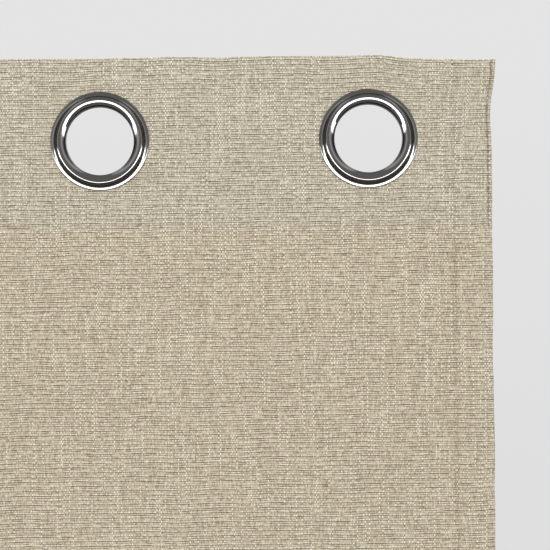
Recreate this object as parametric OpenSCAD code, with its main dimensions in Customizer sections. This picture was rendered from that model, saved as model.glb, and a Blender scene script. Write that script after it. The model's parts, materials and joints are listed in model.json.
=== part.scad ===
// Eyelet-top window curtain: one flat hanging panel of woven cloth with a stiffened header,
// turned hems and two-part metal eyelets that a rod passes through.
// Frame: X runs along the header to the right, Y points to the back (the window side), Z is up.
// The origin is on the eyelet line, halfway across the panel and halfway through the header.
// The cloth gathers by folding on upright lines between the eyelets, so each stretch of it that
// stays flat, from one fold to the next, is a strip: strip 0 is the return edge at the right,
// strip 1 holds the first eyelet, and the last strip ends at the left edge.

/* [Panel] */
// Width of the finished panel
panel_w = 1318; // [1000:1:1600]
// Drop of the finished panel, from its top edge to its hem
panel_drop = 2134; // [1200:1:2800]
// Thickness of one layer of the cloth
cloth_t = 0.6; // [0.4:0.1:1]
// Width of the side hems, which are turned twice
side_hem_w = 25; // [15:1:30]
// Height of the bottom hem, which is turned twice
bottom_hem_h = 76; // [40:1:120]
// Gap left at each fold line, between the stiff strips
fold_gap = 1; // [0.6:0.1:2]

/* [Header] */
// Depth of the header, from the top edge to its stitch line
header_h = 106; // [90:1:140]
// Gap between the stiffener strip's lower edge and the header's stitch line
stiffener_up = 5; // [2:0.5:10]
// Thickness of the stiffener strip
stiffener_t = 0.6; // [0.4:0.1:1]

/* [Eyelets] */
// Number of eyelets across the panel
eyelet_count = 8; // [4:1:8]
// Distance from the top edge down to the eyelets' axes
eyelet_drop = 51.5; // [44:0.5:60]
// Distance from a side edge to the nearest eyelet's axis
eyelet_margin = 76.25; // [70:0.25:100]
// Diameter of the opening that the rod passes through
bore_d = 42; // [30:0.5:46]
// Width of the bead's gentle slope, from the opening to its crest
bead_in = 4.2; // [3:0.1:5]
// Width of the bead's steep side, from its crest to the flange
bead_out = 2.6; // [2:0.1:3.5]
// Height of the bead's crest above the cloth
bead_h = 4.1; // [3:0.1:5]
// Width of the flange outside the bead
flange_w = 2.8; // [2.4:0.1:6]
// Height of the flange beside the bead
flange_h = 1.2; // [1:0.05:2]
// Radius of the flange's rolled rim
rim_r = 1; // [0.8:0.05:1.2]
// Thickness of the pressed metal
metal_t = 0.6; // [0.4:0.1:0.8]
// Height of the back ring's dome
back_rise = 2; // [1.6:0.1:2.4]
// Radius of the barrel's rolled lip
lip_r = 1.3; // [1:0.1:1.6]
// Clearance of the holes in the cloth around the barrel
hole_clearance = 0.5; // [0.2:0.1:1]
// Clearance of the back ring around the barrel
ring_clearance = 0.05; // [0.02:0.01:0.1]

/* [Care label] */
// Width of the sewn-in care label
label_w = 24; // [15:1:24]
// Height of the care label
label_h = 45; // [30:1:70]
// Thickness of the care label
label_t = 0.3; // [0.2:0.1:0.5]
// Height of the label's lower edge above the bottom hem
label_up = 60; // [20:1:200]

/* [Hidden] */
cloth_colour = [0.72, 0.68, 0.59];
turned_colour = [0.69, 0.65, 0.56];
metal_colour = [0.33, 0.33, 0.34];
stiffener_colour = [0.93, 0.93, 0.91];
label_colour = [0.95, 0.95, 0.94];

last = eyelet_count;
header_t = 2 * cloth_t + stiffener_t;
front_y = -header_t / 2;
back_y = header_t / 2;
inner_y = front_y + cloth_t;          // back of the face cloth
hem_t = 2 * cloth_t;                  // two turned layers
hem_back_y = inner_y + hem_t;
top_z = eyelet_drop;
bottom_z = top_z - panel_drop;
header_bottom_z = top_z - header_h;
edge_x = panel_w / 2;
hem_x = edge_x - side_hem_w;          // inner edge of the right side hem
pitch = (panel_w - 2 * eyelet_margin) / (eyelet_count - 1);
bore_r = bore_d / 2;
barrel_r = bore_r + metal_t;
crest_r = bore_r + bead_in;           // where the bead is highest
flange_in = crest_r + bead_out;       // where the bead ends and the flange begins
eyelet_r = flange_in + flange_w;
hole_r = barrel_r + hole_clearance;
over = 1;                             // how far a cutter runs past what it cuts

function eyelet_x(k) = edge_x - eyelet_margin - (k - 1) * pitch;
// Fold k lies between strip k - 1 and strip k. The first is midway from the ring to the side hem.
function fold_x(k) = k == 1 ? (eyelet_x(1) + eyelet_r + hem_x) / 2
                            : (eyelet_x(k - 1) + eyelet_x(k)) / 2;
function strip_right(k) = k == 0 ? edge_x : fold_x(k) - fold_gap / 2;
function strip_left(k) = k == last ? -edge_x : fold_x(k + 1) + fold_gap / 2;

function numbered(stem) = [for (k = [1:last]) str(stem, k)];

// A flat layer from one corner to the opposite one.
module layer(x0, x1, y0, y1, z0, z1)
    translate([x0, y0, z0]) cube([x1 - x0, y1 - y0, z1 - z0]);

// The hole for strip k's eyelet. Strip 0 has no eyelet.
module eyelet_hole(k)
    if (k > 0) translate([eyelet_x(k), 0, 0]) rotate([90, 0, 0])
        cylinder(r = hole_r, h = 4 * header_t, center = true, $fn = 96);

// A turned layer of strip k that lies at y0 to y1, and steps back over the side hem where it meets one.
module turned_layer(k, y0, y1, z0, z1) {
    step_y = hem_back_y;
    step_t = y1 - y0;
    on_right = k == 0;
    on_left = k == last;
    low_right = on_right ? hem_x : strip_right(k);
    low_left = on_left ? -hem_x : strip_left(k);
    layer(low_left, low_right, y0, y1, z0, z1);
    if (on_right) {
        layer(hem_x - cloth_t, hem_x, y0, step_y + step_t, z0, z1);
        layer(hem_x - cloth_t, edge_x, step_y, step_y + step_t, z0, z1);
    }
    if (on_left) {
        layer(-hem_x, -hem_x + cloth_t, y0, step_y + step_t, z0, z1);
        layer(-edge_x, -hem_x + cloth_t, step_y, step_y + step_t, z0, z1);
    }
}

// The front layer of strip k, over the full drop.
module face_cloth(k) color(cloth_colour) difference() {
    layer(strip_left(k), strip_right(k), front_y, inner_y, bottom_z, top_z);
    eyelet_hole(k);
}

// The stiff strip inside the header. It stops at the side hems.
module header_stiffener(k) color(stiffener_colour) difference() {
    layer(k == last ? -hem_x : strip_left(k), k == 0 ? hem_x : strip_right(k),
          inner_y, inner_y + stiffener_t, header_bottom_z + stiffener_up, top_z - cloth_t);
    eyelet_hole(k);
}

// The cloth turned over the top edge and down behind the stiffener.
module header_facing(k) color(turned_colour) difference() {
    union() {
        turned_layer(k, inner_y + stiffener_t, back_y, header_bottom_z, top_z);
        layer(strip_left(k), strip_right(k), inner_y, back_y, top_z - cloth_t, top_z);
    }
    eyelet_hole(k);
}

// The cloth turned up twice at the foot of the panel.
module bottom_hem(k) color(turned_colour)
    turned_layer(k, inner_y, inner_y + hem_t, bottom_z, bottom_z + bottom_hem_h);

// The cloth turned in twice along a side edge. Side is 1 at the right and -1 at the left.
module side_hem(side) color(turned_colour)
    layer(side > 0 ? hem_x : -edge_x, side > 0 ? edge_x : -hem_x,
          inner_y, hem_back_y, bottom_z, top_z - cloth_t);

// A ring of eyelet k, from its section: radius runs along X, and height along Y towards the front.
module on_eyelet(k) translate([eyelet_x(k), 0, 0]) rotate([90, 0, 0])
    rotate_extrude($fn = 128) children();

module half_disc(r) intersection() {
    circle(r = r, $fn = 64);
    translate([-r, 0]) square([2 * r, r]);
}

// A quarter of an ellipse, between its two axes.
module quarter(rx, ry) intersection() {
    scale([rx, ry]) circle(r = 1, $fn = 96);
    square([rx, ry]);
}

// Section of the bead on its straight legs, taken in by inset all round and run down by foot.
module bead(inset, foot) {
    top_h = bead_h - flange_h - inset;
    translate([crest_r, flange_h]) {
        quarter(bead_out - inset, top_h);
        mirror([1, 0]) quarter(bead_in - inset, top_h);
    }
    translate([bore_r + inset, -foot])
        square([bead_in + bead_out - 2 * inset, flange_h + foot]);
}

// Section of the flange, which slopes down a little to its rolled rim, taken in by inset.
module flange(inset, foot) hull() {
    translate([flange_in - metal_t, -foot]) square([metal_t, flange_h - inset + foot]);
    translate([eyelet_r - rim_r, 0]) quarter(rim_r - inset, rim_r - inset);
    translate([eyelet_r - rim_r, -foot]) square([rim_r - inset, foot + metal_t / 4]);
}

// Section of a low dome from radius r0 to r1, as high as rise, in pressed metal.
module dome(r0, r1, rise) {
    half_w = (r1 - r0) / 2;
    arc_r = (half_w * half_w + rise * rise) / (2 * rise);
    intersection() {
        translate([r0 + half_w, rise - arc_r]) difference() {
            circle(r = arc_r, $fn = 96);
            circle(r = arc_r - metal_t, $fn = 96);
        }
        translate([r0, 0]) square([2 * half_w, rise]);
    }
}

// Front ring: a hollow bead round the opening, a low flange that rests on the cloth, and a barrel
// that runs through the header to the lip that is rolled over the back ring.
module eyelet_front(k) color(metal_colour) on_eyelet(k) {
    seat = -front_y;
    lip_y = -back_y - metal_t;
    translate([0, seat]) {
        difference() {
            bead(0, 0);
            bead(metal_t, over);
        }
        difference() {
            flange(0, 0);
            flange(metal_t, over);
            translate([bore_r, -over]) square([bead_in + bead_out - metal_t, over + bead_h]);
        }
    }
    translate([bore_r, lip_y]) square([metal_t, seat + flange_h - lip_y]);
    translate([bore_r + lip_r, lip_y]) mirror([0, 1]) half_disc(lip_r);
}

// Back ring: a domed washer on the facing, with a flat inner land under the barrel's lip.
module eyelet_back(k) color(metal_colour) on_eyelet(k) {
    land_in = barrel_r + ring_clearance;
    land_out = bore_r + 2 * lip_r + ring_clearance;
    translate([0, -back_y]) mirror([0, 1]) {
        translate([land_in, 0]) square([land_out + metal_t - land_in, metal_t]);
        dome(land_out, eyelet_r, back_rise);
    }
}

// The label sewn to the back of the right side hem.
module care_label() color(label_colour)
    layer(edge_x - label_w, edge_x, hem_back_y, hem_back_y + label_t,
          bottom_z + bottom_hem_h + label_up, bottom_z + bottom_hem_h + label_up + label_h);

face_cloth(0);  // face_cloth_edge
header_stiffener(0);  // header_stiffener_edge
header_facing(0);  // header_facing_edge
bottom_hem(0);  // bottom_hem_edge
side_hem(1);  // side_hem_right
side_hem(-1);  // side_hem_left
care_label();
for (k = [1:last]) {
    face_cloth(k);
    header_stiffener(k);
    header_facing(k);
    bottom_hem(k);
    eyelet_front(k);
    eyelet_back(k);
}
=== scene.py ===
import json
import math

import bpy
import numpy as np
from mathutils import Matrix, Vector


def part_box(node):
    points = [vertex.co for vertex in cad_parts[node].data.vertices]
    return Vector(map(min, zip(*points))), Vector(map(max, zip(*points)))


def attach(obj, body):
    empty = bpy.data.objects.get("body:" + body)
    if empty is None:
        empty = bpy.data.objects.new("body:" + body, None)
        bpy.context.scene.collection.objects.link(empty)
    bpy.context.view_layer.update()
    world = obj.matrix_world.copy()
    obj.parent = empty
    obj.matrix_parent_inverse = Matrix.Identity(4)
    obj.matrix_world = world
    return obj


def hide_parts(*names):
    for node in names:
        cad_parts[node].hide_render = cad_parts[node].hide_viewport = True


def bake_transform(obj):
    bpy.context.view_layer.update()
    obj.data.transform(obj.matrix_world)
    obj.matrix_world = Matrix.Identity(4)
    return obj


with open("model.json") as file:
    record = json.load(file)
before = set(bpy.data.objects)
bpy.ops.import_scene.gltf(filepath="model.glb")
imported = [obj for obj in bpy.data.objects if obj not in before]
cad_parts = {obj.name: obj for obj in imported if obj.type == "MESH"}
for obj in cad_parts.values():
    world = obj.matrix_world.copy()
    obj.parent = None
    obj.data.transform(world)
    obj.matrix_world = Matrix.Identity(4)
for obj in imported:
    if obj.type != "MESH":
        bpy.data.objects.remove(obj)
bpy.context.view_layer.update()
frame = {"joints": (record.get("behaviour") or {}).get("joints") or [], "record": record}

# An eyelet-top curtain panel: one width of slubbed cloth, turned over a stiffened header and hemmed
# all round, with black nickel eyelets. The camera looks straight at its top right corner.

mm = 0.001
record = frame["record"]
mounts = {m["name"]: m for m in record["mounts"]}
hinges = {j["name"]: j for j in frame["joints"]}
eyeletCount = sum(name.startswith("eyelet_") for name in mounts)
eyeletX = {k: mounts[f"eyelet_{k}"]["pos_m"][0] for k in range(1, eyeletCount + 1)}
foldX = {k: hinges[f"fold_{k}"]["pos_m"][0] for k in range(1, eyeletCount + 1)}
strips = ["return_edge"] + [f"pleat_{k}" for k in range(1, eyeletCount + 1)]

panelLow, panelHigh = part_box("face_cloth_edge")
edgeX = panelHigh.x
topZ, bottomZ = panelHigh.z, panelLow.z
frontY = panelLow.y
clothT = panelHigh.y - panelLow.y
faceY = frontY + clothT / 2
facingY = -faceY
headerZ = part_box("header_facing_1")[0].z
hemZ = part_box("bottom_hem_1")[1].z
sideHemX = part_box("side_hem_right")[0].x
stiffLow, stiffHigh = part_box("header_stiffener_1")
boreR = mounts["eyelet_1"]["dims"]["r_mm"] * mm
ringLow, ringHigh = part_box("eyelet_front_1")
backLow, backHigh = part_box("eyelet_back_1")
ringR = (ringHigh.x - ringLow.x) / 2


def toLinear(hexColour):
    parts = [int(hexColour[i:i + 2], 16) / 255 for i in (1, 3, 5)]
    return [c / 12.92 if c <= 0.04045 else ((c + 0.055) / 1.055) ** 2.4 for c in parts] + [1.0]


def addNode(tree, kind, inputs=None, **settings):
    node = tree.nodes.new(kind)
    for name, value in settings.items():
        setattr(node, name, value)
    for socket, source in (inputs or {}).items():
        if isinstance(source, bpy.types.Node):
            source = source.outputs[0]
        if isinstance(source, bpy.types.NodeSocket):
            tree.links.new(source, node.inputs[socket])
        else:
            node.inputs[socket].default_value = source
    return node


eased = {"interpolation_type": "SMOOTHSTEP"}  # for a Map Range with soft ends


def newTree(name, sockets):
    tree = bpy.data.node_groups.new(name, "GeometryNodeTree")
    tree.interface.new_socket(name="Geometry", in_out="OUTPUT", socket_type="NodeSocketGeometry")
    tree.interface.new_socket(name="Geometry", in_out="INPUT", socket_type="NodeSocketGeometry")
    for label, kind in sockets.items():
        tree.interface.new_socket(name=label, in_out="INPUT", socket_type="NodeSocket" + kind)
    return tree, tree.nodes.new("NodeGroupInput").outputs


def endTree(tree, shape, material):
    real = addNode(tree, "GeometryNodeRealizeInstances", {0: shape})
    dressed = addNode(tree, "GeometryNodeSetMaterial", {0: real, "Material": material})
    addNode(tree, "NodeGroupOutput", {0: dressed})


def inScene(name, data):
    thing = bpy.data.objects.new(name, data)
    bpy.context.scene.collection.objects.link(thing)
    return thing


def newMaterial(name):
    material = bpy.data.materials.new(name)
    material.use_nodes = True
    material.node_tree.nodes.clear()
    return material, material.node_tree


# Runs a mesh or curve through Geometry Nodes trees and gives back the plain mesh that comes out.
def throughTrees(name, data, *steps):
    source = inScene(name, data)
    for tree, values in steps:
        modifier = source.modifiers.new(tree.name, "NODES")
        modifier.node_group = tree
        for item in tree.interface.items_tree:
            if item.in_out == "INPUT" and item.name in values:
                modifier[item.identifier] = values[item.name]
    depsgraph = bpy.context.evaluated_depsgraph_get()
    mesh = bpy.data.meshes.new_from_object(source.evaluated_get(depsgraph), depsgraph=depsgraph)
    source.modifiers.clear()
    bpy.data.objects.remove(source)
    mesh.name = name
    return mesh


def newPiece(name, mesh, material):
    mesh.materials.clear()
    mesh.materials.append(material)
    piece = inScene(name, mesh)
    return piece


print("camera and light")
view = {
    "seenWidth": 0.3411,  # how much of the header fills the picture
    "lens": 165,
    "sensor": 36,
    "aimX": -0.0588,  # from the first eyelet
    "aimZ": -0.0841,
    "roll": -0.62,
}
lens = bpy.data.cameras.new("camera")
lens.lens = view["lens"]
lens.sensor_width = view["sensor"]
camera = inScene("camera", lens)
away = view["seenWidth"] * view["lens"] / view["sensor"]
camera.location = (eyeletX[1] + view["aimX"], frontY - away, view["aimZ"])
camera.rotation_euler = (Matrix.Rotation(math.radians(90), 4, "X")
                         @ Matrix.Rotation(math.radians(view["roll"]), 4, "Z")).to_euler()
lens.clip_start, lens.clip_end = 0.05, 60
bpy.context.scene.camera = camera
bpy.context.scene.view_settings.view_transform = "Standard"

studio = {
    "wall": "#e4e4e4",
    "wallLow": "#dedede",
    "fill": 0.80,  # even light on cloth from all round
    "mirrored": 0.80,  # the same surroundings, as polished metal shows them
    "floorMirrored": 0.01,  # the unlit floor close to the panel
    "band": 21.0,  # the lit table in front, low and wide
    "window": 1.3,
    "key": 9.0,  # watts
    "backShare": 0.6,
    "lampSize": (1.6, 1.0),
}
world = bpy.data.worlds.new("paleStudio")
bpy.context.scene.world = world
world.use_nodes = True
sky = world.node_tree
sky.nodes.clear()
rayKind = addNode(sky, "ShaderNodeLightPath")
skyWay = addNode(sky, "ShaderNodeSeparateXYZ", {0: addNode(sky, "ShaderNodeTexCoord").outputs["Generated"]})
wallTone = addNode(sky, "ShaderNodeMapRange", {0: skyWay.outputs["Z"], 1: -0.12, 2: 0.08})
wallColour = addNode(sky, "ShaderNodeMix", {
    0: wallTone, 6: toLinear(studio["wallLow"]), 7: toLinear(studio["wall"])}, data_type="RGBA")
# Polished metal sees pale walls above, a wide lit table low in front and a dark floor under it.
aside = addNode(sky, "ShaderNodeMath", {0: skyWay.outputs["X"]}, operation="ABSOLUTE")
edge = {}
for name, source, start, stop in (
        ("low", skyWay.outputs["Z"], -0.42, -0.34), ("high", skyWay.outputs["Z"], -0.06, -0.10),
        ("front", skyWay.outputs["Y"], -0.05, -0.45), ("windowIn", aside, 0.30, 0.46),
        ("windowOut", aside, 0.72, 0.58)):
    edge[name] = addNode(sky, "ShaderNodeMapRange", {0: source, 1: start, 2: stop}, **eased)
bandHeight = addNode(sky, "ShaderNodeMath", {0: edge["low"], 1: edge["high"]}, operation="MULTIPLY")
band = addNode(sky, "ShaderNodeMath", {0: bandHeight, 1: edge["front"]}, operation="MULTIPLY")
aboveFloor = addNode(sky, "ShaderNodeMapRange", {
    0: skyWay.outputs["Z"], 1: -0.30, 2: -0.06, 3: studio["floorMirrored"], 4: studio["mirrored"]})
lit = addNode(sky, "ShaderNodeMath", {0: band, 1: studio["band"], 2: aboveFloor}, operation="MULTIPLY_ADD")
# The walls at both sides carry a tall soft window and fall dark beyond it.
window = addNode(sky, "ShaderNodeMath", {0: edge["windowIn"], 1: edge["windowOut"]}, operation="MULTIPLY")
glow = addNode(sky, "ShaderNodeMath", {0: window, 1: studio["window"], 2: lit}, operation="MULTIPLY_ADD")
beyond = addNode(sky, "ShaderNodeMapRange", {0: aside, 1: 0.78, 2: 0.90, 3: 1.0, 4: 0.18})
sided = addNode(sky, "ShaderNodeMath", {0: glow, 1: beyond}, operation="MULTIPLY")
# Straight behind the panel it is dark, so the barrels of the rings close with a dark line.
notBehind = addNode(sky, "ShaderNodeMapRange",
                    {0: skyWay.outputs["Y"], 1: 0.965, 2: 0.985, 3: 1.0, 4: 0.12})
mirrored = addNode(sky, "ShaderNodeMath", {0: sided, 1: notBehind}, operation="MULTIPLY")
plainLight = addNode(sky, "ShaderNodeBackground", {"Color": (1, 1, 1, 1), "Strength": studio["fill"]})
mirrorLight = addNode(sky, "ShaderNodeBackground", {"Color": (1, 1, 1, 1), "Strength": mirrored})
wallLight = addNode(sky, "ShaderNodeBackground", {"Color": wallColour.outputs[2], "Strength": 1.0})
forMetal = addNode(sky, "ShaderNodeMixShader", {
    0: rayKind.outputs["Is Glossy Ray"], 1: plainLight, 2: mirrorLight})
forAll = addNode(sky, "ShaderNodeMixShader", {
    0: rayKind.outputs["Is Camera Ray"], 1: forMetal, 2: wallLight})
addNode(sky, "ShaderNodeOutputWorld", {0: forAll})

# One large soft light above and in front of the header, and a weaker one for the back.
for name, place, power in (("softKey", (0.2, -1.6, 1.5), studio["key"]),
                           ("softBack", (-0.6, 1.8, 1.2), studio["key"] * studio["backShare"])):
    lamp = bpy.data.lights.new(name, "AREA")
    lamp.shape = "RECTANGLE"
    lamp.size, lamp.size_y = studio["lampSize"]
    lamp.energy = power
    light = inScene(name, lamp)
    light.location = place
    light.rotation_euler = (Vector((0, 0, -0.3)) - light.location).to_track_quat("-Z", "Y").to_euler()
    light.visible_camera = False
    light.visible_glossy = False


print("materials")
# Slubbed linen-look plain weave. Uneven weft lies in rows, in pairs of a heavy and a light pick. Fine
# warp crosses it, and here and there a thick end rises over every second row as a light dash.
weave = {
    "light": "#fff8e4",
    "middle": "#c2b7a0",
    "dark": "#5c4f34",
    "rowPitch": 1.43,  # mm between weft threads
    "endPitch": 0.84,  # mm between warp threads
    "wander": 2.0,  # mm that a row strays
    "endWander": 8.0,  # ends that a warp thread strays by
    "relief": 0.35,  # mm
    "bare": (1.065, 1.04, 1.03, 1),
    "backed": (1.055, 1.056, 1.076, 1),  # over white buckram
    "sewnInside": 2.0,  # mm from a hem's free edge to its stitches
    "seamInset": 2.4,  # mm from the side edge to the line that closes the header's ends
    "offPanel": 5000.0,  # mm, where the side stitches are sent along the header and the hem
}
# What is uneven in the weave: how fast it changes for each millimetre, its detail and its roughness.
# Where a row or an end is numbered, the large factor sets each one apart from the next.
unevenness = {
    "stray": ((1 / 30, 0, 1 / 70), 1.0, 0.5),
    "endStray": ((1 / 45, 0, 1 / 300), 1.0, 0.5),
    "patch": ((1 / 7, 0, 1 / 7), 1.0, 0.5),
    "grain": ((1.9, 0, 2.1), 2.0, 0.7),
    "thread": ((1 / 5, 5.37, 0), 3.0, 0.6),
    "fleck": ((1.15, 3.37, 0), 1.0, 0.5),
    "gap": ((1 / 6, 3.91, 1), 2.0, 0.5),
    "thick": ((7.13, 1 / 40, 1), 2.0, 0.5),
}


def makeWeave(name, stitchShadeWeight):
    material, tree = newMaterial(name)
    inMm = {}
    for label in ("clothPlace", "flatPlace"):
        spot = addNode(tree, "ShaderNodeAttribute", attribute_name=label).outputs["Vector"]
        inMm[label] = addNode(tree, "ShaderNodeVectorMath", {0: spot, "Scale": 1 / mm}, operation="SCALE")
    place = inMm["clothPlace"]
    across = addNode(tree, "ShaderNodeSeparateXYZ", {0: place})
    u, v = across.outputs["X"], across.outputs["Z"]

    noise = {}
    for label in ("stray", "endStray", "patch", "grain"):
        stretch, detail, roughness = unevenness[label]
        spot = addNode(tree, "ShaderNodeVectorMath", {0: place, 1: stretch}, operation="MULTIPLY")
        noise[label] = addNode(tree, "ShaderNodeTexNoise", {
            "Vector": spot, "Scale": 1.0, "Detail": detail, "Roughness": roughness})

    # Rows of weft, which wander a little.
    strayed = addNode(tree, "ShaderNodeMath", {0: noise["stray"], 1: weave["wander"], 2: v},
                      operation="MULTIPLY_ADD")
    rowPlace = addNode(tree, "ShaderNodeMath", {0: strayed, 1: weave["rowPitch"]}, operation="DIVIDE")
    row = addNode(tree, "ShaderNodeMath", {0: rowPlace}, operation="FLOOR")
    heavy = addNode(tree, "ShaderNodeMath", {0: row, 1: 1.0}, operation="PINGPONG")
    gapRow = addNode(tree, "ShaderNodeMath", {0: rowPlace}, operation="ROUND")
    deep = addNode(tree, "ShaderNodeMath", {0: gapRow, 1: 1.0}, operation="PINGPONG")
    fromGap = addNode(tree, "ShaderNodeMath", {0: rowPlace, 1: 0.5}, operation="PINGPONG")

    # Warp ends, most of them hidden in the weft.
    endU = addNode(tree, "ShaderNodeMath", {0: u, 1: 1 / weave["endPitch"]}, operation="MULTIPLY")
    endPlace = addNode(tree, "ShaderNodeMath", {0: noise["endStray"], 1: weave["endWander"], 2: endU},
                       operation="MULTIPLY_ADD")
    end = addNode(tree, "ShaderNodeMath", {0: endPlace}, operation="FLOOR")
    inEnd = addNode(tree, "ShaderNodeMath", {0: endPlace, 1: 0.5}, operation="PINGPONG")

    # Each thread swells and thins along its length, on its own, and so does the gap beside it. The spun
    # yarn is uneven over a millimetre too, and hairs blur it.
    along = addNode(tree, "ShaderNodeCombineXYZ", {0: u, 1: row})
    between = addNode(tree, "ShaderNodeCombineXYZ", {0: u, 1: gapRow, 2: 8.1})
    down = addNode(tree, "ShaderNodeCombineXYZ", {0: end, 1: v, 2: 1.7})
    for label, source in (("thread", along), ("fleck", along), ("gap", between), ("thick", down)):
        stretch, detail, roughness = unevenness[label]
        spot = addNode(tree, "ShaderNodeVectorMath", {0: source, 1: stretch}, operation="MULTIPLY")
        noise[label] = addNode(tree, "ShaderNodeTexNoise", {
            "Vector": spot, "Scale": 1.0, "Detail": detail, "Roughness": roughness})
    gapSize = addNode(tree, "ShaderNodeMath", {0: deep, 1: 0.14, 2: noise["gap"]}, operation="MULTIPLY_ADD")
    gapSize = addNode(tree, "ShaderNodeMath", {0: noise["patch"], 1: 0.9, 2: gapSize},
                      operation="MULTIPLY_ADD")
    gap = addNode(tree, "ShaderNodeMapRange", {0: gapSize, 1: 0.78, 2: 1.30})
    gapShape = addNode(tree, "ShaderNodeMapRange", {0: fromGap, 1: 0.26, 2: 0.06}, **eased)
    thick = addNode(tree, "ShaderNodeMapRange", {0: noise["thick"], 1: 0.55, 2: 0.68})
    crossing = addNode(tree, "ShaderNodeMath", {0: row, 1: end}, operation="ADD")
    over = addNode(tree, "ShaderNodeMath", {0: crossing, 1: 1.0}, operation="PINGPONG")
    endShape = addNode(tree, "ShaderNodeMapRange", {0: inEnd, 1: 0.06, 2: 0.24}, **eased)
    rising = addNode(tree, "ShaderNodeMath", {0: over, 1: thick}, operation="MULTIPLY")
    dash = addNode(tree, "ShaderNodeMath", {0: rising, 1: endShape}, operation="MULTIPLY")
    sunk = addNode(tree, "ShaderNodeMath", {0: thick, 1: rising}, operation="SUBTRACT")

    # The gap closes where a thick end crosses it. The open gap sinks in the relief
    #     # and darkens the tone as painted shade between the rows.
    openGap = addNode(tree, "ShaderNodeMath", {0: gap, 1: gapShape}, operation="MULTIPLY")
    closed = addNode(tree, "ShaderNodeMath", {0: 1.0, 1: dash}, operation="SUBTRACT")
    gapDepthAndShade = addNode(tree, "ShaderNodeMath", {0: openGap, 1: closed}, operation="MULTIPLY")

    # The header ends are sewn shut on a line that sinks into the cloth in the relief,
    #     # and the tone is darkened along it as painted shade.
    fromEdge = addNode(tree, "ShaderNodeMath", {0: u}, operation="ABSOLUTE")
    fromSeam = addNode(tree, "ShaderNodeMath", {0: fromEdge, 1: edgeX / mm - weave["seamInset"]},
                       operation="SUBTRACT")
    seamSide = addNode(tree, "ShaderNodeMath", {0: fromSeam}, operation="ABSOLUTE")
    seamShape = addNode(tree, "ShaderNodeMapRange", {0: seamSide, 1: 0.75, 2: 0.25}, **eased)
    inHeader = addNode(tree, "ShaderNodeMapRange", {0: v, 1: headerZ / mm - 1, 2: headerZ / mm + 1})
    seamDipAndShade = addNode(tree, "ShaderNodeMath", {0: seamShape, 1: inHeader}, operation="MULTIPLY")
    # The header, bottom hem and side hems are sewn as well. Along their stitches the tone
    #     # is darkened as painted shade of the dip the stitches make.
    flatParts = addNode(tree, "ShaderNodeSeparateXYZ", {0: inMm["flatPlace"]})
    fromMiddle = addNode(tree, "ShaderNodeMath", {0: flatParts.outputs["Z"], 1: (headerZ + hemZ) / 2 / mm},
                         operation="SUBTRACT")
    away = addNode(tree, "ShaderNodeMath", {0: fromMiddle}, operation="ABSOLUTE")
    covered = addNode(tree, "ShaderNodeMath", {0: away, 1: (headerZ - hemZ) / 2 / mm},
                      operation="GREATER_THAN")
    sideways = addNode(tree, "ShaderNodeMath", {0: flatParts.outputs["X"]}, operation="ABSOLUTE")
    flatSide = addNode(tree, "ShaderNodeMath", {0: covered, 1: weave["offPanel"], 2: sideways},
                       operation="MULTIPLY_ADD")
    distances = []
    for source, line in ((flatParts.outputs["Z"], headerZ / mm + weave["sewnInside"]),
                         (flatParts.outputs["Z"], hemZ / mm - weave["sewnInside"]),
                         (flatSide, sideHemX / mm + weave["sewnInside"])):
        offset = addNode(tree, "ShaderNodeMath", {0: source, 1: line}, operation="SUBTRACT")
        distances.append(addNode(tree, "ShaderNodeMath", {0: offset}, operation="ABSOLUTE"))
    fromRow = distances[0]
    for distance in distances[1:]:
        fromRow = addNode(tree, "ShaderNodeMath", {0: distance, 1: fromRow}, operation="MINIMUM")
    sewn = addNode(tree, "ShaderNodeMapRange", {0: fromRow, 1: 1.1, 2: 0.2}, **eased)
    # Painted shade: a soft darker band beside the inner fold of the side hem, where the
    #     # fold's step would shade the face cloth.
    fold = addNode(tree, "ShaderNodeMapRange", {0: fromEdge, 1: sideHemX / mm + 5, 2: sideHemX / mm})
    foldEnd = addNode(tree, "ShaderNodeMath", {0: fromEdge, 1: sideHemX / mm}, operation="GREATER_THAN")
    paintedFoldShade = addNode(tree, "ShaderNodeMath", {0: fold, 1: foldEnd}, operation="MULTIPLY")

    # Tone: 0 is the darkest gap and 1 the lightest thread.
    tone = addNode(tree, "ShaderNodeMath", {0: heavy, 1: 0.09, 2: -0.835}, operation="MULTIPLY_ADD")
    for source, weight in ((noise["thread"], 0.18), (noise["fleck"], 1.05), (noise["grain"], 1.15),
                           (noise["patch"], 0.50), (dash, 0.60), (sunk, -0.16), (gapDepthAndShade, -0.90),
                           (seamDipAndShade, -0.32), (paintedFoldShade, -0.07), (sewn, -stitchShadeWeight)):
        tone = addNode(tree, "ShaderNodeMath", {0: source, 1: weight, 2: tone}, operation="MULTIPLY_ADD")
    ramp = addNode(tree, "ShaderNodeValToRGB", {0: tone})
    stops = ramp.color_ramp.elements
    stops[0].position, stops[1].position = 0.0, 1.0
    stops[0].color, stops[1].color = toLinear(weave["dark"]), toLinear(weave["light"])
    stops.new(0.5).color = toLinear(weave["middle"])

    # White buckram behind the header makes the cloth a little paler there.
    tint = addNode(tree, "ShaderNodeMix", {0: inHeader, 6: weave["bare"], 7: weave["backed"]},
                   data_type="RGBA")
    colour = addNode(tree, "ShaderNodeMix", {0: 1.0, 6: ramp, 7: tint.outputs[2]}, data_type="RGBA",
                     blend_type="MULTIPLY")

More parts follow.
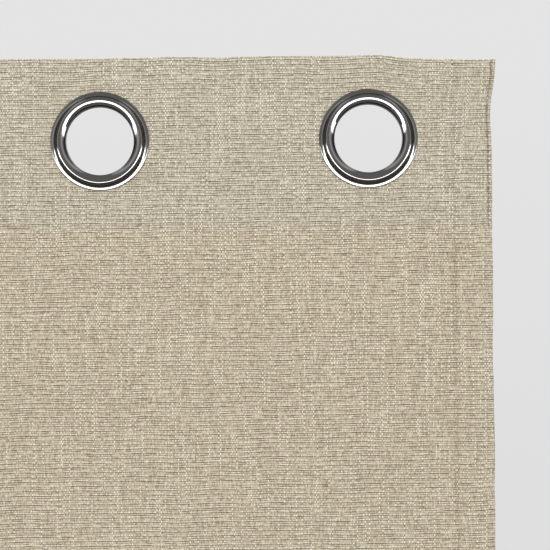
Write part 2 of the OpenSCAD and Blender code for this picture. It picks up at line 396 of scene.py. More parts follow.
    height = addNode(tree, "ShaderNodeMath", {0: dash, 1: 0.6, 2: noise["thread"]},
                     operation="MULTIPLY_ADD")
    height = addNode(tree, "ShaderNodeMath", {0: gapDepthAndShade, 1: -0.8, 2: height}, operation="MULTIPLY_ADD")
    height = addNode(tree, "ShaderNodeMath", {0: seamDipAndShade, 1: -2.0, 2: height}, operation="MULTIPLY_ADD")
    relief = addNode(tree, "ShaderNodeBump", {"Strength": 0.5, "Distance": weave["relief"] * mm,
                                              "Height": height})
    cloth = addNode(tree, "ShaderNodeBsdfPrincipled", {
        "Base Color": colour.outputs[2], "Roughness": 0.95, "Normal": relief, "Specular IOR Level": 0.12,
        "Sheen Weight": 0.10, "Sheen Roughness": 0.5})
    addNode(tree, "ShaderNodeOutputMaterial", {0: cloth})
    return material


# The turned-back copy carries stronger painted shade along its stitch lines.
slubbedWeave = makeWeave("slubbedPlainWeave", 0.05)
turnedWeave = makeWeave("slubbedPlainWeaveTurnedBack", 0.38)

# Polished black nickel over pressed steel: a dark mirror, a little uneven from the tumbling and
# faintly smudged by hands.
nickel, tree = newMaterial("polishedBlackNickel")
metalPlace = addNode(tree, "ShaderNodeTexCoord")
smudge = addNode(tree, "ShaderNodeTexNoise", {"Vector": metalPlace.outputs["Object"], "Scale": 60.0,
                                              "Detail": 3.0})
smudged = addNode(tree, "ShaderNodeMapRange", {0: smudge, 1: 0.35, 2: 0.75, 3: 0.07, 4: 0.15})
ripple = addNode(tree, "ShaderNodeTexNoise", {"Vector": metalPlace.outputs["Object"], "Scale": 45.0,
                                              "Detail": 1.0})
rippled = addNode(tree, "ShaderNodeBump", {"Strength": 0.2, "Distance": 0.03 * mm, "Height": ripple})
plate = addNode(tree, "ShaderNodeBsdfPrincipled", {
    "Base Color": toLinear("#5f5e5d"), "Metallic": 1.0, "Roughness": smudged, "Normal": rippled})
addNode(tree, "ShaderNodeOutputMaterial", {0: plate})

# Fused buckram: white open cotton stiffened with resin, so it is matt with a fine square grid.
buckram, tree = newMaterial("fusedBuckram")
gridPlace = addNode(tree, "ShaderNodeTexCoord")
threads = [addNode(tree, "ShaderNodeTexWave", {"Vector": gridPlace.outputs["Object"], "Scale": 320.0},
                   bands_direction=way) for way in ("X", "Z")]  # one thread each millimetre
gridTone = addNode(tree, "ShaderNodeMath", {0: threads[0], 1: threads[1]}, operation="MULTIPLY")
gridColour = addNode(tree, "ShaderNodeMix", {0: gridTone, 6: toLinear("#d8d8d2"), 7: toLinear("#f1f1ee")},
                     data_type="RGBA")
stiff = addNode(tree, "ShaderNodeBsdfPrincipled", {"Base Color": gridColour.outputs[2], "Roughness": 0.8})
addNode(tree, "ShaderNodeOutputMaterial", {0: stiff})

# Satin ribbon: white polyester with long floats that catch the light in fine ribs.
ribbon, tree = newMaterial("satinRibbon")
ribbonPlace = addNode(tree, "ShaderNodeTexCoord")
ribs = addNode(tree, "ShaderNodeTexWave", {"Vector": ribbonPlace.outputs["Object"], "Scale": 800.0,
                                           "Distortion": 1.0, "Detail": 2.0}, bands_direction="Z")
ribColour = addNode(tree, "ShaderNodeMix", {0: ribs, 6: toLinear("#e2e1dc"), 7: toLinear("#f6f5f1")},
                    data_type="RGBA")
ribRelief = addNode(tree, "ShaderNodeBump", {"Strength": 0.2, "Distance": 0.05 * mm, "Height": ribs})
satin = addNode(tree, "ShaderNodeBsdfPrincipled", {"Base Color": ribColour.outputs[2], "Roughness": 0.35,
                                                   "Normal": ribRelief, "Sheen Weight": 0.3})
addNode(tree, "ShaderNodeOutputMaterial", {0: satin})

# Spun polyester sewing thread, dyed to the cloth, with the slant of its two plies.
thread, tree = newMaterial("spunPolyesterThread")
threadPlace = addNode(tree, "ShaderNodeTexCoord")
plies = addNode(tree, "ShaderNodeTexWave", {"Vector": threadPlace.outputs["Object"], "Scale": 900.0},
                bands_direction="DIAGONAL")
plyColour = addNode(tree, "ShaderNodeMix", {0: plies, 6: toLinear("#a89c82"), 7: toLinear("#c9bea6")},
                    data_type="RGBA")
spun = addNode(tree, "ShaderNodeBsdfPrincipled", {"Base Color": plyColour.outputs[2], "Roughness": 0.6})
addNode(tree, "ShaderNodeOutputMaterial", {0: spun})


print("how the cloth hangs")
hang = {
    "Wave depth": 0.0065,  # metres, as all lengths here
    "Wave length": 2 * (eyeletX[1] - eyeletX[2]),
    "Wave centre": eyeletX[1],
    "Wave start": headerZ - 0.06,
    "Wave reach": 1.3,
    "Drift": 0.9,
    "Edge wobble": 0.0007,
    "Top wobble": 0.0008,
    "Corner droop": 0.0021,
    "Corner flare": 0.0031,
    "Half width": edgeX,
    "Top": topZ,
    "Free edge": eyeletX[1] + 0.006,
}
hangTree, given = newTree("hangCloth", {label: "Float" for label in hang})
where = addNode(hangTree, "GeometryNodeInputPosition")
at = addNode(hangTree, "ShaderNodeSeparateXYZ", {0: where})
x, z = at.outputs["X"], at.outputs["Z"]
side = addNode(hangTree, "ShaderNodeMath", {0: x}, operation="SIGN")
out = addNode(hangTree, "ShaderNodeMath", {0: x}, operation="ABSOLUTE")

# Soft upright waves, which grow from the header down.
fallen = addNode(hangTree, "ShaderNodeMath", {0: given["Wave start"], 1: z}, operation="SUBTRACT")
fallenShare = addNode(hangTree, "ShaderNodeMapRange", {0: fallen, 1: 0.0, 2: given["Wave reach"]}, **eased)
driftPlace = addNode(hangTree, "ShaderNodeVectorMath", {0: where, 1: (2.2, 0, 0.9)}, operation="MULTIPLY")
drift = addNode(hangTree, "ShaderNodeTexNoise", {"Vector": driftPlace, "Scale": 1.0, "Detail": 1.0})
driftTurn = addNode(hangTree, "ShaderNodeMath", {0: drift, 1: given["Drift"]}, operation="MULTIPLY")
fromCentre = addNode(hangTree, "ShaderNodeMath", {0: x, 1: given["Wave centre"]}, operation="SUBTRACT")
inWaves = addNode(hangTree, "ShaderNodeMath", {0: fromCentre, 1: given["Wave length"]}, operation="DIVIDE")
turned = addNode(hangTree, "ShaderNodeMath", {0: inWaves, 1: driftTurn}, operation="ADD")
angle = addNode(hangTree, "ShaderNodeMath", {0: turned, 1: 2 * math.pi}, operation="MULTIPLY")
swing = addNode(hangTree, "ShaderNodeMath", {0: angle}, operation="COSINE")
waveDepth = addNode(hangTree, "ShaderNodeMath", {0: fallenShare, 1: given["Wave depth"]},
                    operation="MULTIPLY")
wave = addNode(hangTree, "ShaderNodeMath", {0: swing, 1: waveDepth}, operation="MULTIPLY")

# Small stray of the side edges and of the top edge.
strays = {}
for edgeName, spots, scale in (("Edge wobble", {0: side, 1: 4.0, 2: z}, 19.0),
                               ("Top wobble", {0: x, 1: 9.0}, 16.0)):
    spot = addNode(hangTree, "ShaderNodeCombineXYZ", spots)
    uneven = addNode(hangTree, "ShaderNodeTexNoise", {"Vector": spot, "Scale": scale, "Detail": 2.0})
    wobble = addNode(hangTree, "ShaderNodeMapRange", {0: uneven, 1: 0.3, 2: 0.7, 3: -1.0, 4: 1.0},
                     clamp=False)
    strays[edgeName] = addNode(hangTree, "ShaderNodeMath", {0: wobble, 1: given[edgeName]},
                               operation="MULTIPLY")
nearSide = addNode(hangTree, "ShaderNodeMath", {0: given["Half width"], 1: out}, operation="SUBTRACT")
sideShare = addNode(hangTree, "ShaderNodeMapRange", {0: nearSide, 1: 0.030, 2: 0.0}, **eased)
below = addNode(hangTree, "ShaderNodeMath", {0: given["Top"], 1: z}, operation="SUBTRACT")
flareShare = addNode(hangTree, "ShaderNodeMapRange", {0: below, 1: 0.036, 2: 0.0}, **eased)
flared = addNode(hangTree, "ShaderNodeMath",
                 {0: flareShare, 1: given["Corner flare"], 2: strays["Edge wobble"]},
                 operation="MULTIPLY_ADD")
sideMove = addNode(hangTree, "ShaderNodeMath", {0: flared, 1: sideShare}, operation="MULTIPLY")
moveX = addNode(hangTree, "ShaderNodeMath", {0: sideMove, 1: side}, operation="MULTIPLY")

beyond = addNode(hangTree, "ShaderNodeMath", {0: out, 1: given["Free edge"]}, operation="SUBTRACT")
firstDrop = addNode(hangTree, "ShaderNodeMapRange", {0: beyond, 1: 0.0, 2: 0.018}, **eased)
lastDrop = addNode(hangTree, "ShaderNodeMapRange", {0: beyond, 1: 0.018, 2: 0.070, 4: 0.55})
dropShare = addNode(hangTree, "ShaderNodeMath", {0: firstDrop, 1: lastDrop}, operation="ADD")
dropped = addNode(hangTree, "ShaderNodeMath", {0: dropShare, 1: given["Corner droop"]},
                  operation="MULTIPLY")
topMove = addNode(hangTree, "ShaderNodeMath", {0: strays["Top wobble"], 1: dropped}, operation="SUBTRACT")
topShare = addNode(hangTree, "ShaderNodeMapRange", {0: below, 1: 0.044, 2: 0.004}, **eased)
moveZ = addNode(hangTree, "ShaderNodeMath", {0: topMove, 1: topShare}, operation="MULTIPLY")
move = addNode(hangTree, "ShaderNodeCombineXYZ", {0: moveX, 1: wave, 2: moveZ})
hung = addNode(hangTree, "GeometryNodeSetPosition", {0: given["Geometry"], "Offset": move})
endTree(hangTree, hung, slubbedWeave)


print("cloth")
clothMesh = {
    "step": 0.0042,  # across
    "tightStep": 0.002,  # beside the first fold
    "headerStep": 0.0028,
    "dropStep": 0.0062,
    "hole": 0.0232,
    "holeMargin": 0.0012,
    "round": 4,  # steps round a folded edge
    "curl": 5,  # rows round the inner fold of a hem
    "jog": 0.0016,  # in which a layer steps back over a side hem
    "bendReach": 0.048,  # how far from a fold line the cloth bends
    "firstBendReach": 0.010,
}


def spread(stops, step):
    places = [stops[0]]
    for a, b in zip(stops, stops[1:]):
        count = max(1, math.ceil(abs(b - a) / (step(0.5 * (a + b)) if callable(step) else step) - 1e-6))
        places += [a + (b - a) * i / count for i in range(1, count + 1)]
    return places


# Goes round a turned edge of radius bend: (distance beyond the flat, share of the way round).
def roundEdge(bend, count=None):
    count = count or clothMesh["round"]
    return [(bend * math.sin(t), math.cos(t)) for t in
            (0.5 * math.pi * i / count for i in range(1, count + 1))]


def smoothShare(t):
    t = np.clip(t, 0, 1)
    return t * t * (3 - 2 * t)


# A surface from its columns, rows and heights.
def surface(*parts):
    return np.stack(parts, -1)


# Rows that turn through half a circle of cloth: (distance beyond the flat, share of the way out).
def foldOver():
    return [(clothT / 2 * math.sin(t), 0.5 + 0.5 * math.cos(t))
            for t in np.linspace(0, math.pi, clothMesh["curl"] + 2)[1:-1]]


def gridFaces(rows, columns):
    i, j = np.meshgrid(np.arange(rows - 1), np.arange(columns - 1), indexing="ij")
    a = i * columns + j
    return np.stack([a, a + 1, a + columns + 1, a + columns], axis=-1).reshape(-1, 4)


# A layer of cloth from its middle surface: points[row, column] with columns to the right and rows up,
# so that its first face looks to the front. It is hung as one sheet, then cut into closed pieces at
# the columns named in cuts, and every piece keeps the normals of the whole sheet.
def makeLayer(names, points, places, cuts, thickness, material, holes=True):
    rows, columns = points.shape[:2]
    plain = points.reshape(-1, 3)
    flat = plain.copy()
    faces = gridFaces(rows, columns)
    keep = np.ones(len(faces), bool)
    if holes:
        middle = flat[faces].mean(1)
        for centre in eyeletX.values():
            away = np.hypot(middle[:, 0] - centre, middle[:, 2])
            gone = away < clothMesh["hole"] + clothMesh["holeMargin"]
            keep &= ~gone
            rim = np.intersect1d(faces[gone].ravel(), faces[keep].ravel())
            ray = flat[rim][:, [0, 2]] - (centre, 0)
            size = np.hypot(ray[:, 0], ray[:, 1])
            flat[rim, 0] = centre + ray[:, 0] / size * clothMesh["hole"]
            flat[rim, 2] = ray[:, 1] / size * clothMesh["hole"]
    sheet = bpy.data.meshes.new(names[0])
    sheet.from_pydata(flat.tolist(), [], faces.tolist())
    sheet = throughTrees(names[0], sheet, (hangTree, hang))
    hungPoints = np.empty(len(flat) * 3)
    sheet.vertices.foreach_get("co", hungPoints)
    bpy.data.meshes.remove(sheet)
    hungPoints = hungPoints.reshape(rows, columns, 3)
    along = np.gradient(hungPoints, axis=1)
    up = np.gradient(hungPoints, axis=0)
    normals = np.cross(along, up)
    normals /= np.maximum(np.linalg.norm(normals, axis=2, keepdims=True), 1e-12)
    hungPoints = hungPoints.reshape(-1, 3)
    normals = normals.reshape(-1, 3)
    placed = places.reshape(-1, 3)
    faceColumn = np.tile(np.arange(columns - 1), rows - 1)
    pieces = []
    for name, (first, final) in zip(names, zip(cuts, cuts[1:])):
        part = faces[keep & (faceColumn >= first) & (faceColumn < final)]
        used, part = np.unique(part, return_inverse=True)
        part = part.reshape(-1, 4)
        count = len(used)
        centre, normal = hungPoints[used], normals[used]
        vertices = np.concatenate([centre + normal * thickness / 2, centre - normal * thickness / 2])
        edges = np.concatenate([part[:, [i, (i + 1) % 4]] for i in range(4)])
        keys = edges.min(1) * count + edges.max(1)
        order, counts = np.unique(keys, return_counts=True)
        border = edges[np.isin(keys, order[counts == 1])]
        walls = np.stack([border[:, 1], border[:, 0], border[:, 0] + count, border[:, 1] + count], axis=1)
        allFaces = np.concatenate([part, part[:, ::-1] + count, walls])
        wallWay = np.cross(vertices[walls[:, 1]] - vertices[walls[:, 0]],
                           vertices[walls[:, 3]] - vertices[walls[:, 0]])
        wallWay /= np.maximum(np.linalg.norm(wallWay, axis=1, keepdims=True), 1e-12)
        corners = np.concatenate([normal[part].reshape(-1, 3), -normal[part[:, ::-1]].reshape(-1, 3),
                                  np.repeat(wallWay, 4, axis=0)])
        mesh = bpy.data.meshes.new(name)
        mesh.from_pydata(vertices.tolist(), [], allFaces.tolist())
        mesh.polygons.foreach_set("use_smooth", np.ones(len(allFaces), bool))
        for label, values in (("clothPlace", placed), ("flatPlace", plain)):
            mesh.attributes.new(label, "FLOAT_VECTOR", "POINT")
            mesh.attributes[label].data.foreach_set("vector", np.tile(values[used], (2, 1)).ravel())
        mesh.update()
        mesh.normals_split_custom_set(corners.tolist())
        pieces.append(newPiece(name, mesh, material))
    return pieces


# Columns from the left edge to the right: flat stops, then the two turned edges.
bendR = facingY  # the middle of the cloth turns round half the header's thickness
flatEdge = edgeX - bendR - clothT / 2
jogX = sideHemX - clothMesh["jog"]
stops = sorted({-flatEdge, -sideHemX, -jogX, jogX, sideHemX, flatEdge,
                foldX[1] - clothMesh["firstBendReach"], foldX[1] + clothMesh["firstBendReach"],
                *eyeletX.values(), *foldX.values()})
flatX = spread(stops, lambda place: clothMesh["tightStep"]
               if abs(place - foldX[1]) < clothMesh["firstBendReach"] + 0.002 else clothMesh["step"])
turn = roundEdge(bendR)
columnX = np.array([-flatEdge - a for a, b in reversed(turn)] + flatX + [flatEdge + a for a, b in turn])
columnTurn = np.array([b for a, b in reversed(turn)] + [1] * len(flatX) + [b for a, b in turn])
cutColumns = [int(np.argmin(abs(columnX - eyeletX[k]))) for k in sorted(eyeletX, reverse=True)]
cuts = [0] + cutColumns + [len(columnX) - 1]
names = [str(k) for k in range(eyeletCount + 1, 0, -1)]

# The face cloth, over the full drop.
flatTop, flatBottom = topZ - bendR - clothT / 2, bottomZ + bendR + clothT / 2
flatZ = spread([flatBottom, hemZ, headerZ], clothMesh["dropStep"])
flatZ += spread([headerZ, 0.0, flatTop], clothMesh["headerStep"])[1:]
rowZ = np.array([flatBottom - a for a, b in reversed(turn)] + flatZ + [flatTop + a for a, b in turn])
rowTurn = np.array([b for a, b in reversed(turn)] + [1] * len(flatZ) + [b for a, b in turn])
gridX, gridZ = np.meshgrid(columnX, rowZ)
gridY = faceY * np.outer(rowTurn, columnTurn)
face = makeLayer([f"faceCloth_{n}" for n in names], surface(gridX, gridY, gridZ),
                 surface(gridX, gridY, gridZ), cuts, clothT, slubbedWeave)


# How far a layer has stepped back, where it crosses a side hem.
def steppedBack(place):
    return smoothShare((np.abs(place) - jogX) / clothMesh["jog"])


jog = steppedBack(columnX)

# The facing: over the top edge and down behind the stiffener, to a turned lower edge.
smallTurn = roundEdge(clothT / 2, 3)
facingFlat = spread([headerZ + clothT, 0.0, flatTop], clothMesh["headerStep"])
facingZ = np.array([headerZ + clothT - a for a, b in reversed(smallTurn)] + facingFlat
                   + [flatTop + a for a, b in turn])
facingBack = np.array([1.0] * (len(smallTurn) + len(facingFlat)) + [b for a, b in turn])
facingCurl = np.array([(1 - b) * clothT / 2 for a, b in reversed(smallTurn)]
                      + [0.0] * (len(facingFlat) + len(turn)))
gridX, gridZ = np.meshgrid(columnX, facingZ)
gridY = np.outer(facingBack, facingY + jog * clothT) - facingCurl[:, None]
backPlace = surface(gridX, gridY, 2 * topZ - gridZ)
facing = makeLayer([f"headerFacing_{n}" for n in names], surface(gridX, gridY, gridZ), backPlace,
                   cuts, clothT, turnedWeave)

# The stiffener, which stops at the side hems.
stiffColumns = np.flatnonzero(np.abs(columnX) <= sideHemX - 0.0017)
stiffZ = np.array(spread([stiffLow.z, 0.0, stiffHigh.z - 0.0009], 0.0042))
gridX, gridZ = np.meshgrid(columnX[stiffColumns], stiffZ)
stiffCuts = [0] + [c - stiffColumns[0] for c in cutColumns] + [len(stiffColumns) - 1]
stiffY = np.zeros_like(gridX)
stiffener = makeLayer([f"headerStiffener_{n}" for n in names], surface(gridX, stiffY, gridZ),
                      surface(gridX, stiffY, gridZ), stiffCuts, clothT * 0.9, buckram)

# The bottom hem, turned up twice: from the lower edge up the back, then down again inside.
hemFlat = spread([flatBottom, hemZ - clothT], clothMesh["dropStep"])
hemFall = spread([hemZ - clothT, bottomZ + 0.0022], clothMesh["dropStep"] * 2)
hemTurn = foldOver()
hemRows = np.array([flatBottom - a for a, b in reversed(turn)] + hemFlat
                   + [hemZ - clothT + a for a, b in hemTurn] + hemFall)
hemOut = np.array([b for a, b in reversed(turn)] + [1.0] * len(hemFlat) + [b for a, b in hemTurn]
                  + [0.0] * len(hemFall))
hemBack = np.array([b for a, b in reversed(turn)] + [1.0] * (len(hemRows) - len(turn)))
gridX, gridZ = np.meshgrid(columnX, hemRows)
gridY = np.outer(hemOut, np.full(len(columnX), facingY)) + np.outer(hemBack, jog * 2 * clothT)
hemLength = np.concatenate([[0], np.cumsum(np.hypot(np.diff(hemRows), np.diff(hemOut) * facingY))])
hemPlace = surface(gridX, gridY, np.repeat((bottomZ - hemLength)[:, None], len(columnX), 1))
bottomHem = makeLayer([f"bottomHem_{n}" for n in names], surface(gridX, gridY, gridZ),
                      hemPlace, cuts, clothT, turnedWeave, holes=False)

# A side hem, turned in twice: from the edge in along the back, then out again inside.
def sideHem(name, side):
    inner = sideHemX + clothT / 2
    back = [(flatEdge + a, b * facingY) for a, b in reversed(turn)]
    back += [(place, facingY) for place in spread([flatEdge, inner], clothMesh["step"])]
    fold = [(inner - a, b * facingY) for a, b in foldOver()]
    within = [(place, 0.0) for place in spread([inner, flatEdge - 0.0004], clothMesh["step"])]
    profile = np.array(back + fold + within)
    walked = np.concatenate([[0], np.cumsum(np.hypot(*np.diff(profile, axis=0).T))])
    if side > 0:
        profile, walked = profile[::-1], walked[::-1]
    hemX, hemRowZ = np.meshgrid(side * profile[:, 0], flatZ)
    hemY = np.tile(profile[:, 1], (len(flatZ), 1))
    away = np.tile(side * (edgeX + walked), (len(flatZ), 1))
    return makeLayer([name], surface(hemX, hemY, hemRowZ), surface(away, hemY, hemRowZ),
                     [0, len(profile) - 1], clothT, turnedWeave, holes=False)[0]


sideHems = {"return_edge": sideHem("sideHemRight", 1), strips[-1]: sideHem("sideHemLeft", -1)}


print("eyelets")
eyelet = {
    "beadIn": 0.00455,
    "beadOut": 0.00225,
    "beadHeight": 0.0041,
    "flangeHeight": 0.0012,
    "rimRadius": 0.0006,
    "fillet": 0.00189,
    "footAngle": 24,  # where the bead turns into the fillet
    "metal": 0.0006,
    "lipRadius": 0.0013,
    "domeStart": 0.00265,  # from the opening to the back ring's dome
    "facets": 128,
    "sharpAngle": 42,
}


# Points on an arc or ellipse: centre, radii, and angles in degrees from outwards towards the front.
def arc(centre, radii, start, end, count):
    return [(centre[0] + radii[0] * math.cos(t), centre[1] + radii[1] * math.sin(t))
            for t in np.radians(np.linspace(start, end, count))]


seat, back = -frontY, backLow.y  # heights towards the front, from the header's middle
crestR = boreR + eyelet["beadIn"]
rimR = eyelet["rimRadius"]
beadTop = eyelet["beadHeight"] - eyelet["flangeHeight"]
beadFoot = seat + eyelet["flangeHeight"]
lipZ = -back - eyelet["metal"]
fillet, footAngle = eyelet["fillet"], eyelet["footAngle"]
footSlope = math.degrees(math.atan2(beadTop * math.cos(math.radians(footAngle)),
                                    eyelet["beadOut"] * math.sin(math.radians(footAngle))))
filletR = (crestR + eyelet["beadOut"] * math.cos(math.radians(footAngle))
           + fillet * math.sin(math.radians(footSlope)))
frontProfile = (
    [(ringR, seat)]
    + arc((ringR - rimR, beadFoot - rimR - 0.0001), (rimR, rimR), 4, 86, 10)
    + arc((filletR, beadFoot + fillet), (fillet, fillet), 262, 272 - footSlope, 8)
    + arc((crestR, beadFoot), (eyelet["beadOut"], beadTop), footAngle, 88, 16)
    + arc((crestR, beadFoot), (eyelet["beadIn"], beadTop), 91, 180, 22)
    + [(boreR, lipZ + 0.0004)]
    + arc((boreR + eyelet["lipRadius"], lipZ), (eyelet["lipRadius"],) * 2, 180, 360, 16)
    + [(boreR + eyelet["metal"], lipZ), (boreR + eyelet["metal"], seat)])
domeR = boreR + eyelet["domeStart"]
halfDome = (ringR - domeR) / 2
domeRise = backHigh.y - back
domeArc = (halfDome ** 2 + domeRise ** 2) / (2 * domeRise)
openAngle = math.degrees(math.asin(halfDome / domeArc))
landAngle = math.degrees(math.acos((domeArc - domeRise + eyelet["metal"]) / domeArc))
landR = boreR + eyelet["metal"] + 0.00005
backProfile = (
    [(ringR, -back)]
    + arc((domeR + halfDome, -back - domeRise + domeArc), (domeArc, domeArc),
          -90 + openAngle, -90 - landAngle, 20)
    + [(landR, -back - eyelet["metal"]), (landR, -back)])

ringTree, given = newTree("turnedRing", {"Radius": "Float", "Facets": "Int", "Place": "Vector"})
path = addNode(ringTree, "GeometryNodeCurvePrimitiveCircle", {"Resolution": given["Facets"],
                                                              "Radius": given["Radius"]})
turnedRing = addNode(ringTree, "GeometryNodeCurveToMesh", {0: path, "Profile Curve": given["Geometry"]})
stood = addNode(ringTree, "GeometryNodeTransform", {0: turnedRing, "Rotation": (math.pi / 2, 0, 0),
                                                    "Translation": given["Place"]})
smooth = addNode(ringTree, "GeometryNodeSetShadeSmooth", {0: stood})
endTree(ringTree, smooth, nickel)


def makeRing(name, profile, k):
    section = bpy.data.curves.new(name, "CURVE")
    section.dimensions = "3D"
    spline = section.splines.new("POLY")
    spline.points.add(len(profile) - 1)
    for point, (radius, height) in zip(spline.points, profile):
        point.co = (radius - crestR, -height, 0, 1)
    spline.use_cyclic_u = True
    mesh = throughTrees(name, section, (ringTree, {"Radius": crestR, "Facets": eyelet["facets"],
                                                   "Place": (eyeletX[k], 0.0, 0.0)}))
    mesh.set_sharp_from_angle(angle=math.radians(eyelet["sharpAngle"]))
    return newPiece(name, mesh, nickel)


fronts = {k: makeRing(f"eyeletFrontRing_{k}", frontProfile, k) for k in eyeletX}
backs = {k: makeRing(f"eyeletBackRing_{k}", backProfile, k) for k in eyeletX}


print("care label")
label = {
    "acrossStep": 0.002,
    "dropStep": 0.0025,
    "shortOfEdge": 0.0009,
    "lift": 0.0016,  # how far its free side stands off the hem
    "held": 0.024,  # from its free side to where it lies flat
}
labelLow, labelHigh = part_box("care_label")
labelT = labelHigh.y - labelLow.y
labelX = np.array(spread([labelLow.x, edgeX - label["shortOfEdge"]], label["acrossStep"]))
labelZ = np.array(spread([labelLow.z, labelHigh.z], label["dropStep"]))
gridX, gridZ = np.meshgrid(labelX, labelZ)
bulge = np.sin(np.linspace(0, math.pi, len(labelZ))) ** 0.5
lifted = np.outer(bulge, smoothShare((labelHigh.x - labelX) / label["held"]))
gridY = labelLow.y + labelT / 2 + label["lift"] * lifted
careLabel = makeLayer(["careLabel"], surface(gridX, gridY, gridZ), surface(gridX, gridY, gridZ),
                      [0, len(labelX) - 1], labelT, ribbon, holes=False)[0]


print("stitching")
stitch = {
    "Length": 0.0032,
    "Gap share": 0.72,  # of the length that the thread shows for
    "Rise": 0.00022,
    "Thread": 0.00017,
    "Stray": 0.07,
}
stitchTree, given = newTree("stitchRow", {**{label: "Float" for label in stitch}, "Seed": "Int"})
curve = addNode(stitchTree, "GeometryNodeMeshToCurve", {0: given["Geometry"]})
steps = addNode(stitchTree, "GeometryNodeResampleCurve", {0: curve, "Length": given["Length"]},
                mode="LENGTH")
reach = addNode(stitchTree, "ShaderNodeMath", {0: given["Length"], 1: given["Gap share"]},
                operation="MULTIPLY")
part = {}
for what, source, factor in (("end", reach, 0.5), ("start", reach, -0.5), ("dip", given["Rise"], -0.9),
                             ("crest", given["Rise"], 1.9), ("lessStray", given["Stray"], -1.0)):
    part[what] = addNode(stitchTree, "ShaderNodeMath", {0: source, 1: factor}, operation="MULTIPLY")
startAt = addNode(stitchTree, "ShaderNodeCombineXYZ", {0: part["start"], 2: part["dip"]})
middleAt = addNode(stitchTree, "ShaderNodeCombineXYZ", {2: part["crest"]})
endAt = addNode(stitchTree, "ShaderNodeCombineXYZ", {0: part["end"], 2: part["dip"]})
loop = addNode(stitchTree, "GeometryNodeCurveQuadraticBezier", {"Resolution": 4, "Start": startAt,
                                                                "Middle": middleAt, "End": endAt})
section = addNode(stitchTree, "GeometryNodeCurvePrimitiveCircle",
                  {"Resolution": 6, "Radius": given["Thread"]})
sewn = addNode(stitchTree, "GeometryNodeCurveToMesh", {0: loop, "Profile Curve": section, "Fill Caps": True})
shown = addNode(stitchTree, "GeometryNodeSetShadeSmooth", {0: sewn})
way = addNode(stitchTree, "GeometryNodeInputTangent")
ahead = addNode(stitchTree, "FunctionNodeAlignRotationToVector", {"Vector": way}, axis="X")
spot = addNode(stitchTree, "GeometryNodeInputPosition")
spotY = addNode(stitchTree, "ShaderNodeSeparateXYZ", {0: spot})
outSide = addNode(stitchTree, "ShaderNodeMath", {0: spotY.outputs["Y"]}, operation="SIGN")
outWay = addNode(stitchTree, "ShaderNodeCombineXYZ", {1: outSide})
faced = addNode(stitchTree, "FunctionNodeAlignRotationToVector", {"Rotation": ahead, "Vector": outWay},
                axis="Z", pivot_axis="X")
stray = addNode(stitchTree, "FunctionNodeRandomValue",
                {2: part["lessStray"], 3: given["Stray"], "Seed": given["Seed"]}, data_type="FLOAT")
strayTurn = addNode(stitchTree, "FunctionNodeAxisAngleToRotation", {"Axis": (0, 0, 1),
                                                                   "Angle": stray.outputs[1]})
laid = addNode(stitchTree, "FunctionNodeRotateRotation", {0: faced, 1: strayTurn}, rotation_space="LOCAL")
row = addNode(stitchTree, "GeometryNodeInstanceOnPoints", {0: steps, "Instance": shown, "Rotation": laid})
endTree(stitchTree, row, thread)


# A row of stitches along each line of points, hung as the cloth is.
def makeStitches(name, lines, seed):
    points, edges = [], []
    for line in lines:
        edges += [(len(points) + i, len(points) + i + 1) for i in range(len(line) - 1)]
        points += line
    mesh = bpy.data.meshes.new(name)
    mesh.from_pydata(points, edges, [])
    mesh = throughTrees(name, mesh, (stitchTree, {**stitch, "Seed": seed}), (hangTree, hang))
    return newPiece(name, mesh, thread)


seams = {
    "headerUp": 0.0020,  # above the facing's lower edge
    "hemDown": 0.0020,  # below the hem's upper edge
    "sideIn": 0.0020,  # outside the side hem's inner edge
    "closeIn": 0.0024,  # inside the panel's side edge, where the header's end is sewn shut
}
backY = -frontY


def acrossLines(xs, z, step):
    rise = (steppedBack(xs) * step).tolist()
    return [[(float(x), frontY, z) for x in xs],
            [(float(x), backY + y, z) for x, y in zip(xs, rise)]]


headerStitches, hemStitches = {}, {}
for n, (first, final) in zip(names, zip(cuts, cuts[1:])):
    xs = columnX[max(first, 5):min(final, len(columnX) - 6) + 1]
    headerStitches[int(n)] = makeStitches(f"headerStitches_{n}",
                                          acrossLines(xs, headerZ + seams["headerUp"], clothT), int(n))
    hemStitches[int(n)] = makeStitches(f"hemStitches_{n}",
                                       acrossLines(xs, hemZ - seams["hemDown"], 2 * clothT), 20 + int(n))

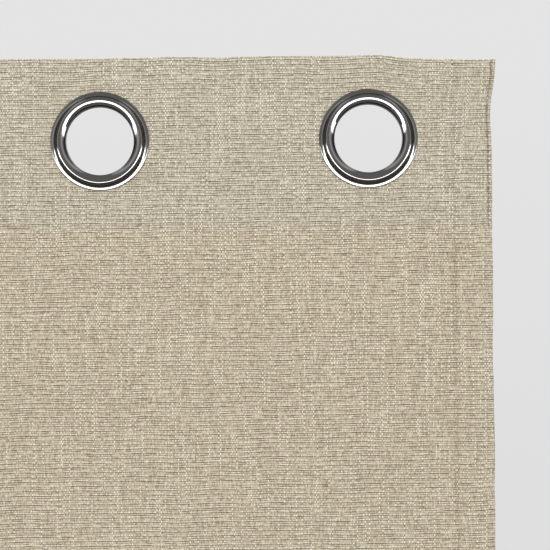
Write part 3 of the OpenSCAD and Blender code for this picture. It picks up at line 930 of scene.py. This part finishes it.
sideStitches = {}
for name, body, side in (("sideStitchesRight", "return_edge", 1), ("sideStitchesLeft", strips[-1], -1)):
    sewn = side * (sideHemX + seams["sideIn"])
    closed = side * (edgeX - seams["closeIn"])
    lines = [[(sewn, y, z) for z in np.arange(hemZ + 0.002, headerZ, 0.02)] for y in (frontY, backY)]
    lines += [[(closed, y, z) for z in np.arange(headerZ + 0.002, topZ - 0.002, 0.008)]
              for y in (frontY, backY + clothT)]
    sideStitches[body] = makeStitches(name, lines, 40 + side)


print("floor and card")
# Half width, front, back and height, then finish, tone and roughness. The card is a painted dark
# # reflection: a black sheet that stands in for the unlit floor under the panel. It lies under the
# # rings, where only their polish sees it.
stage = {
    "floor": (6.0, -6.0, 6.0, bottomZ - 0.015, "paleFloor", "#dcdcda", 0.9),
    "blackCard": (1.2, -0.19, -0.02, -0.35, "blackFelt", "#101010", 0.5),
}
staged = {}
for name, (wide, near, far, height, finish, tone, roughness) in stage.items():
    mesh = bpy.data.meshes.new(name)
    mesh.from_pydata([(-wide, near, height), (wide, near, height), (wide, far, height), (-wide, far, height)],
                     [], [(0, 1, 2, 3)])
    material, tree = newMaterial(finish)
    matt = addNode(tree, "ShaderNodeBsdfPrincipled", {"Base Color": toLinear(tone), "Roughness": roughness})
    addNode(tree, "ShaderNodeOutputMaterial", {0: matt})
    mesh.materials.append(material)
    staged[name] = inScene(name, mesh)
card = staged["blackCard"]
card.visible_camera = card.visible_diffuse = card.visible_shadow = False


end = eyeletCount + 1
allLayers = {}
for layer, cadStem in ((face, "face_cloth"), (facing, "header_facing"), (stiffener, "header_stiffener"),
                       (bottomHem, "bottom_hem")):
    numbered = {int(piece.name.rsplit("_", 1)[1]): piece for piece in layer}
    allLayers[cadStem] = numbered
    for n, piece in numbered.items():
        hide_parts(f"{cadStem}_edge" if n == 1 else f"{cadStem}_{n - 1}")
for numbered in (*allLayers.values(), headerStitches, hemStitches):
    for n, piece in numbered.items():
        if n == end:
            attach(piece, strips[-1])
            continue
        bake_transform(piece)
for k in eyeletX:
    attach(fronts[k], strips[k])
    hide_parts(f"eyelet_front_{k}")
    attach(backs[k], strips[k])
    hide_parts(f"eyelet_back_{k}")
for body, piece in sideHems.items():
    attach(piece, body)
    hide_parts("side_hem_right" if body == "return_edge" else "side_hem_left")
for body, piece in sideStitches.items():
    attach(piece, body)
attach(careLabel, "return_edge")
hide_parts("care_label")
